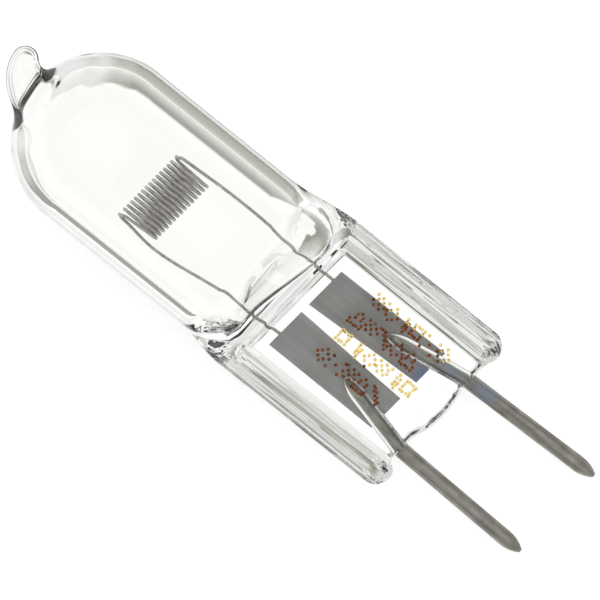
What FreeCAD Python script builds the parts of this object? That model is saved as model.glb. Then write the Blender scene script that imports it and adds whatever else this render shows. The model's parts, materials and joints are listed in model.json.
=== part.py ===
import FreeCAD, Part
import math
import os
import Sketcher

# Halogen capsule bulb, millimetres.
# Everything is modelled in the lamp's own frame: X runs along the lamp from the top of the dome
# towards the pins, Y runs across the flat seal and Z is the seal's thickness. At the end the whole
# lamp is laid on a surface, on its bulb and its two pin tips.

SIZES = [
    ("bulb_radius", 5.5, "outside of the round bulb"),
    ("bulb_wall", 0.9, "quartz wall of the round bulb"),
    ("dome_wall", 1.15, "quartz at the top of the dome"),
    ("bulb_length", 16.0, "top of the dome to the start of the shoulder"),
    ("shoulder_length", 4.3, "round bulb to flat seal"),
    ("nib_root_depth", 1.2, "root of the sealed-off nib, sunk in the dome"),
    ("nib_root_shift", -0.4, "root off the lamp's centre line"),
    ("nib_root_radius", 1.68, "nib at its root"),
    ("nib_bend_reach", 1.5, "top of the dome to where the root and the tip of the nib point"),
    ("nib_bend_shift", -0.1, "that place off the lamp's centre line"),
    ("nib_tip_reach", 1.59, "top of the dome to the end of the nib, along the lamp"),
    ("nib_tip_shift", 1.91, "end of the nib, drawn off to the left"),
    ("nib_neck_radius", 0.84, "nib where its rounded end starts"),
    ("nib_blend", 0.3, "radius between nib and dome"),
    ("seal_width", 12.0, "seal, over both ribs"),
    ("seal_length", 11.7, "shoulder to the end of the seal, at the pins"),
    ("seal_skew", 6.0, "degrees that the seal's ends lean, pressed slightly askew"),
    ("rib_skew", 2.6, "degrees that the ribs' ends lean"),
    ("rib_width", 1.9, "side rib, seen from the front"),
    ("rib_height", 3.6, "side rib, front to back"),
    ("rib_overrun", 0.6, "rib past the end of the seal"),
    ("web_thickness", 2.3, "flat web between the ribs"),
    ("web_slope", 0.55, "sloping border of the pressed web"),
    ("web_bulge", 0.4, "swelling of the web's end, between the pins"),
    ("web_bulge_width", 4.2, "width of that swelling"),
    ("cavity_end_width", 6.6, "width of the gas space where it closes"),
    ("cavity_end_height", 0.9, "thickness of the gas space where it closes"),
    ("cavity_skew", 17.0, "degrees that the end of the gas space leans"),
    ("cavity_floor", 0.8, "glass between the gas space and the pressed web"),
    ("foil_length", 8.2, "sealing foil"),
    ("foil_width", 2.8, "foil at the bulb's end"),
    ("foil_end_width", 2.5, "foil at the pins' end"),
    ("foil_gap", 0.63, "between the foils, at the bulb's end"),
    ("foil_end_gap", 1.35, "between the foils, at the pins' end"),
    ("foil_thickness", 0.035, "rolled foil"),
    ("foil_start", 1.37, "start of the pressed web to the foils"),
    ("foil_shift", -0.08, "foils off the lamp's centre line"),
    ("foil_depth", -0.32, "foil plane behind the middle of the seal"),
    ("pin_radius", 0.5, "round pin"),
    ("pin_point", 1.25, "tapered end of a pin"),
    ("pin_point_radius", 0.14, "blunt tip of that end"),
    ("pin_clearance", 0.03, "fine gap round a pin in the quartz"),
    ("pin_free_length", 9.9, "pin outside the seal"),
    ("pin_lap", 3.45, "pin over its foil"),
    ("pin_exit_spacing", 5.83, "between the pins' axes as they leave the seal"),
    ("pin_splay", 1.6, "degrees that each free pin leans outwards"),
    ("pin_shift", -0.24, "pins off the lamp's centre line"),
    ("pin_bend_radius", 2.0, "bend at the seal's end, on the pin's axis"),
    ("left_crank", 9.5, "degrees that the left pin leans outwards inside the seal"),
    ("right_crank", 13.5, "degrees that the right pin leans outwards inside the seal"),
    ("wire_radius", 0.1, "filament wire"),
    ("coil_turns", 16, "turns of the flat coil"),
    ("coil_pitch", 0.31, "between turns, across the lamp"),
    ("coil_length", 2.85, "coil along the lamp, over the wire"),
    ("coil_thickness", 1.2, "coil front to back, over the wire"),
    ("coil_place", 10.65, "top of the dome to the middle of the coil"),
    ("coil_shift", -0.12, "coil off the lamp's centre line"),
    ("leg_entry", 1.2, "legs run straight from this far inside the gas space"),
    ("leg_spread", 0.2, "legs further out in the gas space than at the welds"),
    ("leg_gap", 0.22, "legs further from the coil than its turns are from each other"),
    ("right_leg_bow", 0.2, "outward bow of the right leg beside the coil"),
    ("weld_lap", 1.6, "filament leg welded behind its foil"),
    ("left_weld_inset", 0.8, "left leg in from the foil's outer edge"),
    ("right_weld_inset", 1.0, "right leg in from the foil's outer edge"),
]

# Places that several pieces share, as expressions of the sheet.
SEAL_START = "(dims.bulb_length + dims.shoulder_length)"
SEAL_END = f"({SEAL_START} + dims.seal_length)"
RIB_END = f"({SEAL_END} + dims.rib_overrun)"
FOIL_START = f"({SEAL_START} + dims.foil_start)"
FOIL_END = f"({FOIL_START} + dims.foil_length)"
CAVITY_END = f"({SEAL_START} - dims.cavity_floor)"
INNER_RADIUS = "(dims.bulb_radius - dims.bulb_wall)"
HALF_SEAL = "(dims.seal_width / 2)"
HALF_WEB = "(dims.seal_width / 2 - dims.rib_width)"
PIN_DEPTH = "(dims.foil_depth + dims.foil_thickness / 2 + dims.pin_radius)"
WIRE_DEPTH = "(dims.foil_depth - dims.foil_thickness / 2 - dims.wire_radius)"
SIDES = {"left": 1, "right": -1}

# How finely the loops work.
SHOULDER_STEPS = 4
HALF_TURN_POINTS = 5
NIB_STEPS = 5
BALANCE_STEPS = 20
REST_ROUNDS = 2

# The shoulder and the end of the gas space start as these shares of the round bulb, just inside it.
START_WIDTH = 0.998
START_HEIGHT = 0.994

# The share of the nib's middle line where its end starts to round off, and the shares of that end
# that get a section.
NIB_NECK = 0.75
NIB_END_STEPS = (0.4, 0.7, 0.88, 0.97)

# How near an edge lies to the dome that it is on, and how far a cut runs past what it cuts.
MATCH = 0.001
OVERCUT = 2.0

# Degrees between which the angles at rest are sought.
TILT_LIMITS = (0.0, 30.0)
ROLL_LIMITS = (-10.0, 10.0)

doc = FreeCAD.newDocument("halogen_capsule_bulb")
sheet = doc.addObject("Spreadsheet::Sheet", "dims")
for row, (alias, size, note) in enumerate(SIZES, start=1):
    sheet.set(f"A{row}", note)
    sheet.set(f"B{row}", str(size))
    sheet.setAlias(f"B{row}", alias)
doc.recompute()


def number(expression):
    return float(sheet.evalExpression(expression))


def skewed(place, across, skew="dims.seal_skew"):
    return f"({place} + ({across}) * tan({skew}))"


def origin_plane(body, role):
    for feature in body.Origin.OriginFeatures:
        if feature.Role == role:
            return feature


def new_sketch(body, name, role, lift="0", turn="0", place=("0", "0"), axis=(0, 0, 1)):
    # A sketch on a plane of the body, lifted and moved in it, and turned about one of its axes. The
    # first turn sets that axis, and the expression sets the angle.
    sketch = body.newObject("Sketcher::SketchObject", name)
    sketch.AttachmentSupport = [(origin_plane(body, role), "")]
    sketch.MapMode = "FlatFace"
    first_turn = FreeCAD.Rotation(FreeCAD.Vector(*axis), 1)
    sketch.AttachmentOffset = FreeCAD.Placement(FreeCAD.Vector(), first_turn)
    sketch.setExpression("AttachmentOffset.Base.x", place[0])
    sketch.setExpression("AttachmentOffset.Base.y", place[1])
    sketch.setExpression("AttachmentOffset.Base.z", lift)
    sketch.setExpression("AttachmentOffset.Rotation.Angle", turn)
    return sketch


def section_sketch(body, name, x, y, turn):
    # A sketch across the lamp, at a place of its middle plane, and turned to the left in it.
    return new_sketch(body, name, "YZ_Plane", x, f"-({turn})", (y, "0"), (0, 1, 0))


def tie(sketch, geometry, end, axis, expression):
    # Holds one coordinate of a point of a sketch at an expression of the sheet.
    if expression == "0":
        other_axis = -2 if axis == "x" else -1
        sketch.addConstraint(Sketcher.Constraint("PointOnObject", geometry, end, other_axis))
        return
    kind = "DistanceX" if axis == "x" else "DistanceY"
    distance = Sketcher.Constraint(kind, -1, 1, geometry, end, number(expression))
    index = sketch.addConstraint(distance)
    name = f"{axis}_{geometry}_{end}"
    sketch.renameConstraint(index, name)
    sketch.setExpression(f"Constraints.{name}", expression)


def arc_centre(start, end, axis, place):
    # Centre of an arc between two points, from one coordinate of that centre.
    across = end - start
    level = (end.Length ** 2 - start.Length ** 2) / 2
    if axis == "x":
        return FreeCAD.Vector(place, (level - across.x * place) / across.y, 0)
    return FreeCAD.Vector((level - across.y * place) / across.x, place, 0)


def arc_between(start, end, centre):
    # Arc that turns left from start to end.
    angles = [math.atan2(point.y - centre.y, point.x - centre.x) for point in (start, end)]
    if angles[1] < angles[0]:
        angles[1] += 2 * math.pi
    circle = Part.Circle(centre, FreeCAD.Vector(0, 0, 1), (start - centre).Length)
    return Part.ArcOfCircle(circle, angles[0], angles[1])


def outline(sketch, corners):
    # Closed outline. A corner is (x, y), or (x, y, turn, axis, place) where the edge to the next
    # corner is an arc that turns left or right and has one coordinate of its centre given.
    points = [FreeCAD.Vector(number(corner[0]), number(corner[1]), 0) for corner in corners]
    starts = []
    ends = []
    for index, corner in enumerate(corners):
        start = points[index]
        end = points[(index + 1) % len(points)]
        if len(corner) == 2:
            edge = sketch.addGeometry(Part.LineSegment(start, end), False)
            starts.append((edge, 1))
            ends.append((edge, 2))
            continue
        turn, axis, place = corner[2:]
        centre = arc_centre(start, end, axis, number(place))
        if turn == "left":
            edge = sketch.addGeometry(arc_between(start, end, centre), False)
            starts.append((edge, 1))
            ends.append((edge, 2))
        else:
            edge = sketch.addGeometry(arc_between(end, start, centre), False)
            starts.append((edge, 2))
            ends.append((edge, 1))
        tie(sketch, edge, 3, axis, place)
    for index, corner in enumerate(corners):
        sketch.addConstraint(Sketcher.Constraint("Coincident", *ends[index - 1], *starts[index]))
        tie(sketch, *starts[index], "x", corner[0])
        tie(sketch, *starts[index], "y", corner[1])


def circle(sketch, radius):
    ring = Part.Circle(FreeCAD.Vector(), FreeCAD.Vector(0, 0, 1), number(radius))
    sketch.addGeometry(ring, False)
    sketch.addConstraint(Sketcher.Constraint("Coincident", 0, 3, -1, 1))
    index = sketch.addConstraint(Sketcher.Constraint("Radius", 0, number(radius)))
    sketch.renameConstraint(index, "radius")
    sketch.setExpression("Constraints.radius", radius)


def oblong(sketch, half_width, half_height):
    # Flat above and below, with half-round ends.
    flat = f"({half_width} - {half_height})"
    outline(sketch, [
        (flat, f"-{half_height}", "left", "x", flat),
        (flat, half_height),
        (f"-{flat}", half_height, "left", "x", f"-{flat}"),
        (f"-{flat}", f"-{half_height}"),
    ])


def round_ended_profile(sketch, near, far, radius):
    # Half of a bulb or bore, from its round end to a flat one.
    centre = f"({near} + {radius})"
    outline(sketch, [
        (near, "0", "right", "x", centre),
        (centre, radius),
        (far, radius),
        (far, "0"),
    ])


def revolve(body, kind, name, sketch):
    feature = body.newObject(kind, name)
    feature.Profile = sketch
    feature.ReferenceAxis = (sketch, ["H_Axis"])
    feature.Angle = 360
    return feature


def loft(body, kind, name, sketches, ruled=False):
    feature = body.newObject(kind, name)
    feature.Profile = sketches[0]
    feature.Sections = sketches[1:]
    feature.Ruled = ruled
    return feature


def extrude(body, kind, name, sketch, length):
    # Both ways from the sketch, half the length each.
    feature = body.newObject(kind, name)
    feature.Profile = sketch
    feature.SideType = "Symmetric"
    feature.setExpression("Length", length)
    return feature


def pipe(body, kind, name, path, edges, radius):
    profile = body.newObject("Sketcher::SketchObject", f"{name}_section")
    profile.AttachmentSupport = [(path, "Edge1")]
    profile.MapMode = "NormalToEdge"
    profile.MapPathParameter = 0
    circle(profile, radius)
    feature = body.newObject(kind, name)
    feature.Profile = profile
    feature.Spine = (path, [f"Edge{edge}" for edge in range(1, edges + 1)])
    return feature


def fillet(body, name, wanted, radius):
    # Rounds the edges of the body's last feature that the given test picks.
    doc.recompute()
    base = body.Tip
    picked = []
    for index, edge in enumerate(base.Shape.Edges, start=1):
        if not edge.Degenerated and wanted(edge):
            picked.append(f"Edge{index}")
    feature = body.newObject("PartDesign::Fillet", name)
    feature.Base = (base, picked)
    feature.setExpression("Radius", radius)
    return feature


def across_of(side, distance, shift):
    return f"({shift} + {SIDES[side]} * ({distance}))"


def foil_sketch(body, side):
    start = across_of(side, "dims.foil_gap / 2", "dims.foil_shift")
    start_outer = across_of(side, "dims.foil_gap / 2 + dims.foil_width", "dims.foil_shift")
    end = across_of(side, "dims.foil_end_gap / 2", "dims.foil_shift")
    end_outer = across_of(side, "dims.foil_end_gap / 2 + dims.foil_end_width", "dims.foil_shift")
    sketch = new_sketch(body, f"foil_{side}_outline", "XY_Plane", "dims.foil_depth")
    outline(sketch, [
        (skewed(FOIL_START, start), start),
        (skewed(FOIL_START, start_outer), start_outer),
        (skewed(FOIL_END, end_outer), end_outer),
        (skewed(FOIL_END, end), end),
    ])
    return sketch


def pin_ends(side):
    # Where the pin's ends start to taper, on its foil and at its tip, and where it leaves the seal.
    exit_y = across_of(side, "dims.pin_exit_spacing / 2", "dims.pin_shift")
    exit_x = skewed(SEAL_END, exit_y)
    foil_middle = across_of(side, "(dims.foil_end_gap + dims.foil_end_width) / 2", "dims.foil_shift")
    lap_x = f"({skewed(FOIL_END, foil_middle)} - dims.pin_lap + dims.pin_point)"
    lap_y = f"({exit_y} - {SIDES[side]} * ({exit_x} - {lap_x}) * tan(dims.{side}_crank))"
    free = "(dims.pin_free_length - dims.pin_point)"
    tip_x = f"({exit_x} + {free})"
    tip_y = f"({exit_y} + {SIDES[side]} * {free} * tan(dims.pin_splay))"
    return (lap_x, lap_y), (exit_x, exit_y), (tip_x, tip_y)


def pin_sketch(body, side):
    # The pin's axis: a straight lap on the foil, a bend at the seal's end and the free pin.
    (lap_x, lap_y), (exit_x, exit_y), (tip_x, tip_y) = pin_ends(side)
    lap = FreeCAD.Vector(number(lap_x), number(lap_y), 0)
    corner = FreeCAD.Vector(number(exit_x), number(exit_y), 0)
    tip = FreeCAD.Vector(number(tip_x), number(tip_y), 0)
    inward = (lap - corner).normalize()
    outward = (tip - corner).normalize()
    half_turn = (math.pi - inward.getAngle(outward)) / 2
    setback = number("dims.pin_bend_radius") * math.tan(half_turn)
    bend_start = corner + inward * setback
    bend_end = corner + outward * setback
    bisector = (inward + outward).normalize()
    centre = corner + bisector * (number("dims.pin_bend_radius") / math.cos(half_turn))
    # The path runs so that its bend always turns left, from the tip on the left side.
    stops = [lap, bend_start, bend_end, tip]
    ends = [(lap_x, lap_y), (tip_x, tip_y)]
    if side == "left":
        stops.reverse()
        ends.reverse()
    sketch = new_sketch(body, f"pin_{side}_axis", "XY_Plane", PIN_DEPTH)
    sketch.addGeometry(Part.LineSegment(stops[0], stops[1]), False)
    sketch.addGeometry(arc_between(stops[1], stops[2], centre), False)
    sketch.addGeometry(Part.LineSegment(stops[2], stops[3]), False)
    sketch.addGeometry(Part.Point(corner), True)
    sketch.addConstraint(Sketcher.Constraint("Tangent", 0, 2, 1, 1))
    sketch.addConstraint(Sketcher.Constraint("Tangent", 1, 2, 2, 1))
    sketch.addConstraint(Sketcher.Constraint("PointOnObject", 3, 1, 0))
    sketch.addConstraint(Sketcher.Constraint("PointOnObject", 3, 1, 2))
    index = sketch.addConstraint(Sketcher.Constraint("Radius", 1, number("dims.pin_bend_radius")))
    sketch.renameConstraint(index, "bend")
    sketch.setExpression("Constraints.bend", "dims.pin_bend_radius")
    for geometry, end, place in ((0, 1, ends[0]), (2, 2, ends[1]), (3, 1, (exit_x, exit_y))):
        tie(sketch, geometry, end, "x", place[0])
        tie(sketch, geometry, end, "y", place[1])
    return sketch


def pointed_rod(body, name, side, gap=None):
    # The pin itself, or its room in the quartz, with a gap all round.
    more = f" + {gap}" if gap else ""
    radius, length, blunt = [f"({size}{more})" for size in
                             ("dims.pin_radius", "dims.pin_point", "dims.pin_point_radius")]
    mode, turned = ("Subtractive", "Groove") if gap else ("Additive", "Revolution")
    pipe(body, f"PartDesign::{mode}Pipe", f"{name}_rod", pin_sketch(body, side), 3, radius)
    lap, _, tip = pin_ends(side)
    lap_turn = f"180 + {SIDES[side]} * dims.{side}_crank"
    tip_turn = f"{SIDES[side]} * dims.pin_splay"
    for end, place, turn in (("lap", lap, lap_turn), ("tip", tip, tip_turn)):
        sketch = new_sketch(body, f"{name}_{end}_profile", "XY_Plane", PIN_DEPTH, turn, place)
        outline(sketch, [
            ("0", "0"),
            ("0", radius, "right", "x", "0"),
            (length, blunt),
            (length, "0"),
        ])
        revolve(body, f"PartDesign::{turned}", f"{name}_{end}", sketch)


def weld_place(side):
    foil_edge = f"dims.foil_gap / 2 + dims.foil_width - dims.{side}_weld_inset"
    across = across_of(side, foil_edge, "dims.foil_shift")
    return f"({skewed(FOIL_START, across)} + dims.weld_lap)", across


def entry_place(side):
    across = f"({weld_place(side)[1]} + {SIDES[side]} * dims.leg_spread)"
    return f"({CAVITY_END} - dims.leg_entry)", across


def leg_sketch(body, side):
    entry = entry_place(side)
    weld = weld_place(side)
    sketch = new_sketch(body, f"leg_{side}_axis", "XY_Plane", WIRE_DEPTH)
    points = [FreeCAD.Vector(number(x), number(y), 0) for x, y in (entry, weld)]
    sketch.addGeometry(Part.LineSegment(*points), False)
    for end, place in ((1, entry), (2, weld)):
        tie(sketch, 0, end, "x", place[0])
        tie(sketch, 0, end, "y", place[1])
    return sketch


def add_bulb(body):
    sketch = new_sketch(body, "bulb_profile", "XY_Plane")
    round_ended_profile(sketch, "0", "dims.bulb_length", "dims.bulb_radius")
    revolve(body, "PartDesign::Revolution", "bulb", sketch)


def nib_section(body, name, share, radius):
    # A circle across the nib's curved middle line, a share of the way from its root to its tip.
    root = ("dims.nib_root_depth", "dims.nib_root_shift")
    bend = ("(-dims.nib_bend_reach)", "dims.nib_bend_shift")
    tip = ("(-dims.nib_tip_reach)", "dims.nib_tip_shift")
    rest = 1 - share
    x, y = [f"({rest ** 2} * {a} + {2 * rest * share} * {b} + {share ** 2} * {c})"
            for a, b, c in zip(root, bend, tip)]
    run, rise = [f"({rest} * ({b} - {a}) + {share} * ({c} - {b}))" for a, b, c in zip(root, bend, tip)]
    sketch = section_sketch(body, name, x, y, f"atan2({rise}; -{run})")
    circle(sketch, radius)
    return sketch


def add_nib(body):
    # The exhaust tube was melted off here, and the drop that it left is drawn over to the left.
    sections = []
    for step in range(NIB_STEPS + 1):
        share = step / NIB_STEPS
        radius = f"(dims.nib_root_radius + (dims.nib_neck_radius - dims.nib_root_radius) * {share})"
        sections.append((NIB_NECK * share, radius))
    for share in NIB_END_STEPS:
        radius = f"(dims.nib_neck_radius * {math.sqrt(1 - share ** 2)})"
        sections.append((NIB_NECK + (1 - NIB_NECK) * share, radius))
    sketches = [nib_section(body, f"nib_section_{index}", *section)
                for index, section in enumerate(sections)]
    loft(body, "PartDesign::AdditiveLoft", "nib", sketches)
    dome_radius = number("dims.bulb_radius")
    dome_centre = FreeCAD.Vector(dome_radius, 0, 0)

    def on_dome(edge):
        places = [edge.valueAt(place) for place in edge.ParameterRange]
        places.append(edge.valueAt(sum(edge.ParameterRange) / 2))
        near = all(abs((place - dome_centre).Length - dome_radius) < MATCH for place in places)
        return near and edge.BoundBox.XMax < dome_radius / 2

    fillet(body, "nib_root", on_dome, "dims.nib_blend")


def blended_sections(body, name, start, end, first, last, skew="0"):
    # Sections from a round one to a flat one that leans by the skew. first and last are half
    # width and half height.
    sketches = []
    for step in range(SHOULDER_STEPS + 1):
        share = step / SHOULDER_STEPS
        blend = round((1 - math.cos(math.pi * share)) / 2, 6)
        sizes = [f"({a} + ({b} - {a}) * {blend})" for a, b in zip(first, last)]
        place = f"({start} + ({end} - {start}) * {share})"
        sketch = section_sketch(body, f"{name}_{step}", place, "0", f"{skew} * {blend}")
        oblong(sketch, *sizes)
        sketches.append(sketch)
    return sketches


def add_shoulder(body):
    first = (f"({START_WIDTH} * dims.bulb_radius)", f"({START_HEIGHT} * dims.bulb_radius)")
    last = (HALF_SEAL, "(dims.rib_height / 2)")
    sketches = blended_sections(body, "shoulder_section", "dims.bulb_length", SEAL_START, first, last)
    loft(body, "PartDesign::AdditiveLoft", "shoulder", sketches)


def add_seal(body):
    # A full-width block is squared off along the ribs' and the web's ends, then its two faces are
    # pressed in between the ribs.
    block = new_sketch(body, "seal_section", "YZ_Plane", SEAL_START)
    oblong(block, HALF_SEAL, "(dims.rib_height / 2)")
    feature = body.newObject("PartDesign::Pad", "seal")
    feature.Profile = block
    feature.setExpression("Length", f"{RIB_END} - {SEAL_START} + {OVERCUT}")
    trim_seal_end(body)
    for face in (1, -1):
        press_web(body, face)


def trim_seal_end(body):
    sketch = new_sketch(body, "seal_end", "XY_Plane")
    far = f"({RIB_END} + {2 * OVERCUT})"
    outer = f"({HALF_SEAL} + {OVERCUT})"
    bulge = "(dims.web_bulge_width / 2)"
    bulge_radius = f"(({bulge} ^ 2 + dims.web_bulge ^ 2) / (2 * dims.web_bulge))"
    bulge_centre = f"({SEAL_END} + dims.web_bulge - {bulge_radius})"
    left_rib = f"({skewed(RIB_END, HALF_SEAL, 'dims.rib_skew')} - dims.rib_width / 2)"
    right_rib = f"({skewed(RIB_END, '-' + HALF_SEAL, 'dims.rib_skew')} - dims.rib_width / 2)"
    outline(sketch, [
        (far, f"-{outer}"),
        (far, outer),
        (left_rib, outer),
        (left_rib, HALF_SEAL, "right", "x", left_rib),
        (left_rib, HALF_WEB),
        (skewed(SEAL_END, HALF_WEB), HALF_WEB),
        (skewed(SEAL_END, bulge), bulge, "right", "x", bulge_centre),
        (skewed(SEAL_END, f"-{bulge}"), f"-{bulge}"),
        (skewed(SEAL_END, f"-{HALF_WEB}"), f"-{HALF_WEB}"),
        (right_rib, f"-{HALF_WEB}", "right", "x", right_rib),
        (right_rib, f"-{HALF_SEAL}"),
        (right_rib, f"-{outer}"),
    ])
    extrude(body, "PartDesign::Pocket", "seal_end_cut", sketch, f"dims.rib_height + {OVERCUT}")


def press_web(body, face):
    # The pressed face's border slopes, so the recess is wider at the top than at the web.
    side = "front" if face > 0 else "back"
    rise = "((dims.rib_height - dims.web_thickness) / 2)"
    far = f"({RIB_END} + {OVERCUT})"
    sketches = []
    for level in (0, 2):
        lift = f"({face} * (dims.web_thickness / 2 + {level} * {rise}))"
        spread = f"({level} * dims.web_slope)"
        half = f"({HALF_WEB} + {spread} - dims.web_slope / 2)"
        start = f"({SEAL_START} + dims.web_slope - {spread})"
        sketch = new_sketch(body, f"web_{side}_{level}", "XY_Plane", lift)
        outline(sketch, [
            (skewed(start, f"-{half}"), f"-{half}"),
            (far, f"-{half}"),
            (far, half),
            (skewed(start, half), half),
        ])
        sketches.append(sketch)
    loft(body, "PartDesign::SubtractiveLoft", f"web_{side}", sketches, ruled=True)


def hollow_out(body):
    sketch = new_sketch(body, "cavity_profile", "XY_Plane")
    round_ended_profile(sketch, "dims.dome_wall", "dims.bulb_length", INNER_RADIUS)
    revolve(body, "PartDesign::Groove", "cavity", sketch)
    first = (f"({START_WIDTH} * {INNER_RADIUS})", f"({START_HEIGHT} * {INNER_RADIUS})")
    last = ("(dims.cavity_end_width / 2)", "(dims.cavity_end_height / 2)")
    sketches = blended_sections(body, "cavity_section", "dims.bulb_length", CAVITY_END, first, last,
                                "dims.cavity_skew")
    loft(body, "PartDesign::SubtractiveLoft", "cavity_end", sketches)


def make_room(body, side):
    # The quartz was pressed round the foils, the pins and the filament's legs.
    sketch = foil_sketch(body, side)
    extrude(body, "PartDesign::Pocket", f"foil_{side}_room", sketch, "dims.foil_thickness")
    pipe(body, "PartDesign::SubtractivePipe", f"leg_{side}_room", leg_sketch(body, side), 1,
         "dims.wire_radius")
    pointed_rod(body, f"pin_{side}_room", side, "dims.pin_clearance")


def make_envelope():
    body = doc.addObject("PartDesign::Body", "envelope")
    add_bulb(body)
    add_nib(body)
    add_shoulder(body)
    add_seal(body)
    hollow_out(body)
    for side in SIDES:
        make_room(body, side)
    return body


def make_foil(side):
    body = doc.addObject("PartDesign::Body", f"foil_{side}")
    extrude(body, "PartDesign::Pad", f"foil_{side}_sheet", foil_sketch(body, side), "dims.foil_thickness")
    return body


def make_pin(side):
    body = doc.addObject("PartDesign::Body", f"pin_{side}")
    pointed_rod(body, f"pin_{side}", side)
    return body


def line(start, end):
    return Part.LineSegment(start, end).toShape()


def curve_through(points, first_heading, last_heading):
    curve = Part.BSplineCurve()
    curve.interpolate(Points=points, InitialTangent=first_heading, FinalTangent=last_heading)
    return curve.toShape()


def leg_points(side):
    places = (entry_place(side), weld_place(side))
    return [FreeCAD.Vector(number(x), number(y), number(WIRE_DEPTH)) for x, y in places]


def filament_path():
    # Up the right leg, round the flat coil at one steady slope and down the left leg. The coil's
    # straight runs lie along the lamp, and each turn leans with the seal.
    wire = number("dims.wire_radius")
    bend = number("dims.coil_thickness") / 2 - wire
    run = number("dims.coil_length") - 2 * (wire + bend)
    pitch = number("dims.coil_pitch")
    turns = round(number("dims.coil_turns"))
    slope = pitch / (2 * run + 2 * math.pi * bend)
    lean = math.tan(math.radians(number("dims.seal_skew")))
    middle = FreeCAD.Vector(number("dims.coil_place"), number("dims.coil_shift"), 0)
    gap = number("dims.leg_gap")

    def place(x, y, z):
        return middle + FreeCAD.Vector(x + y * lean, y, z)

    def heading(along):
        return FreeCAD.Vector(along + slope * lean, slope, 0)

    def half_turn(out, y, before=0.0, after=0.0):
        # before and after are how far out its two ends are moved, beside the coil.
        points = []
        for step in range(HALF_TURN_POINTS):
            share = step / (HALF_TURN_POINTS - 1)
            angle = math.pi * share
            x = out * (run / 2 + bend * math.sin(angle))
            across = y + slope * bend * angle + after * share - before * (1 - share)
            points.append(place(x, across, out * bend * math.cos(angle)))
        return points[-1], curve_through(points, heading(out), heading(-out))

    y = -turns * pitch / 2
    start = place(-run / 2, y - gap, -bend)
    entry, weld = leg_points("right")
    bow = place(run / 2, y - gap - number("dims.right_leg_bow"), -bend)
    edges = [line(weld, entry), curve_through([entry, bow, start], entry - weld, heading(-1))]
    last = 2 * turns - 2
    for half in range(last + 1):
        out = -1 if half % 2 == 0 else 1
        start, bent = half_turn(out, y, gap if half == 0 else 0.0, gap if half == last else 0.0)
        y += slope * (math.pi * bend + run)
        end = start + heading(-out) * run
        edges += [bent, line(start, end)]
    entry, weld = leg_points("left")
    edges += [curve_through([end, entry], heading(1), weld - entry), line(entry, weld)]
    return Part.Wire(edges)


def make_filament():
    feature = doc.addObject("Part::Feature", "filament")
    path = filament_path()
    first, last = path.Edges[0], path.Edges[-1]
    start = first.valueAt(first.FirstParameter)
    direction = first.tangentAt(first.FirstParameter)
    section = Part.Wire(Part.Circle(start, direction, number("dims.wire_radius")).toShape())
    feature.Shape = path.makePipeShell([section], True, False)
    return feature


def turning(tilt, roll):
    # The lamp's pins dip by the tilt, and it is rolled a little about its own axis.
    dip = FreeCAD.Rotation(FreeCAD.Vector(0, 1, 0), tilt)
    return dip.multiply(FreeCAD.Rotation(FreeCAD.Vector(1, 0, 0), roll))


def turned_box(bodies, rotation):
    compound = Part.Compound([body.Shape for body in bodies])
    compound.Placement = FreeCAD.Placement(FreeCAD.Vector(), rotation)
    return compound.optimalBoundingBox(False)


def balance(limits, first, second, rotation_at):
    # The angle at which the first bodies reach as low as the second, which start out higher.
    low, high = limits
    for _ in range(BALANCE_STEPS):
        angle = (low + high) / 2
        rotation = rotation_at(angle)
        if turned_box(first, rotation).ZMin < turned_box(second, rotation).ZMin:
            low = angle
        else:
            high = angle
    return (low + high) / 2


def rest_rotation(envelope, left_pin, right_pin):
    # At rest the bulb and both pins' tips touch one level surface.
    roll = 0.0
    for _ in range(REST_ROUNDS):
        tilt = balance(TILT_LIMITS, [envelope], [left_pin, right_pin], lambda angle: turning(angle, roll))
        roll = balance(ROLL_LIMITS, [left_pin], [right_pin], lambda angle: turning(tilt, angle))
    print(f"lies at {tilt:.2f} degrees, rolled by {roll:.2f}")
    return turning(tilt, roll)


def lie_down(nodes, rotation):
    # The origin ends up under the middle of the lamp's box, on the surface.
    box = turned_box(nodes, rotation)
    shift = FreeCAD.Vector(-box.Center.x, -box.Center.y, -box.ZMin)
    for node in nodes:
        node.Placement = FreeCAD.Placement(shift, rotation)


def check(nodes):
    for item in doc.Objects:
        if {"Invalid", "Error"} & set(item.State):
            raise RuntimeError(f"{item.Label} did not compute: {item.State}")
    for node in nodes:
        if node.Shape.isNull() or not node.Shape.isValid():
            raise RuntimeError(f"{node.Label} has no valid shape")


envelope = make_envelope()
foils = [make_foil(side) for side in SIDES]
pins = [make_pin(side) for side in SIDES]
filament = make_filament()
nodes = [envelope, filament, *foils, *pins]
doc.recompute()
check(nodes)
lie_down(nodes, rest_rotation(envelope, *pins))
doc.recompute()
check(nodes)

os.makedirs("parts", exist_ok=True)
for node in nodes:
    node.Shape.exportStep(f"parts/{node.Label}.step")
    volume = node.Shape.Volume
    print(f"{node.Label}: {len(node.Shape.Solids)} solid, {volume:.3f} mm3, {len(node.Shape.Faces)} faces")
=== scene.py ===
import json
import math
import random

import bmesh
import bpy
import numpy as np
from mathutils import Euler, Matrix, Vector, noise


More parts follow.
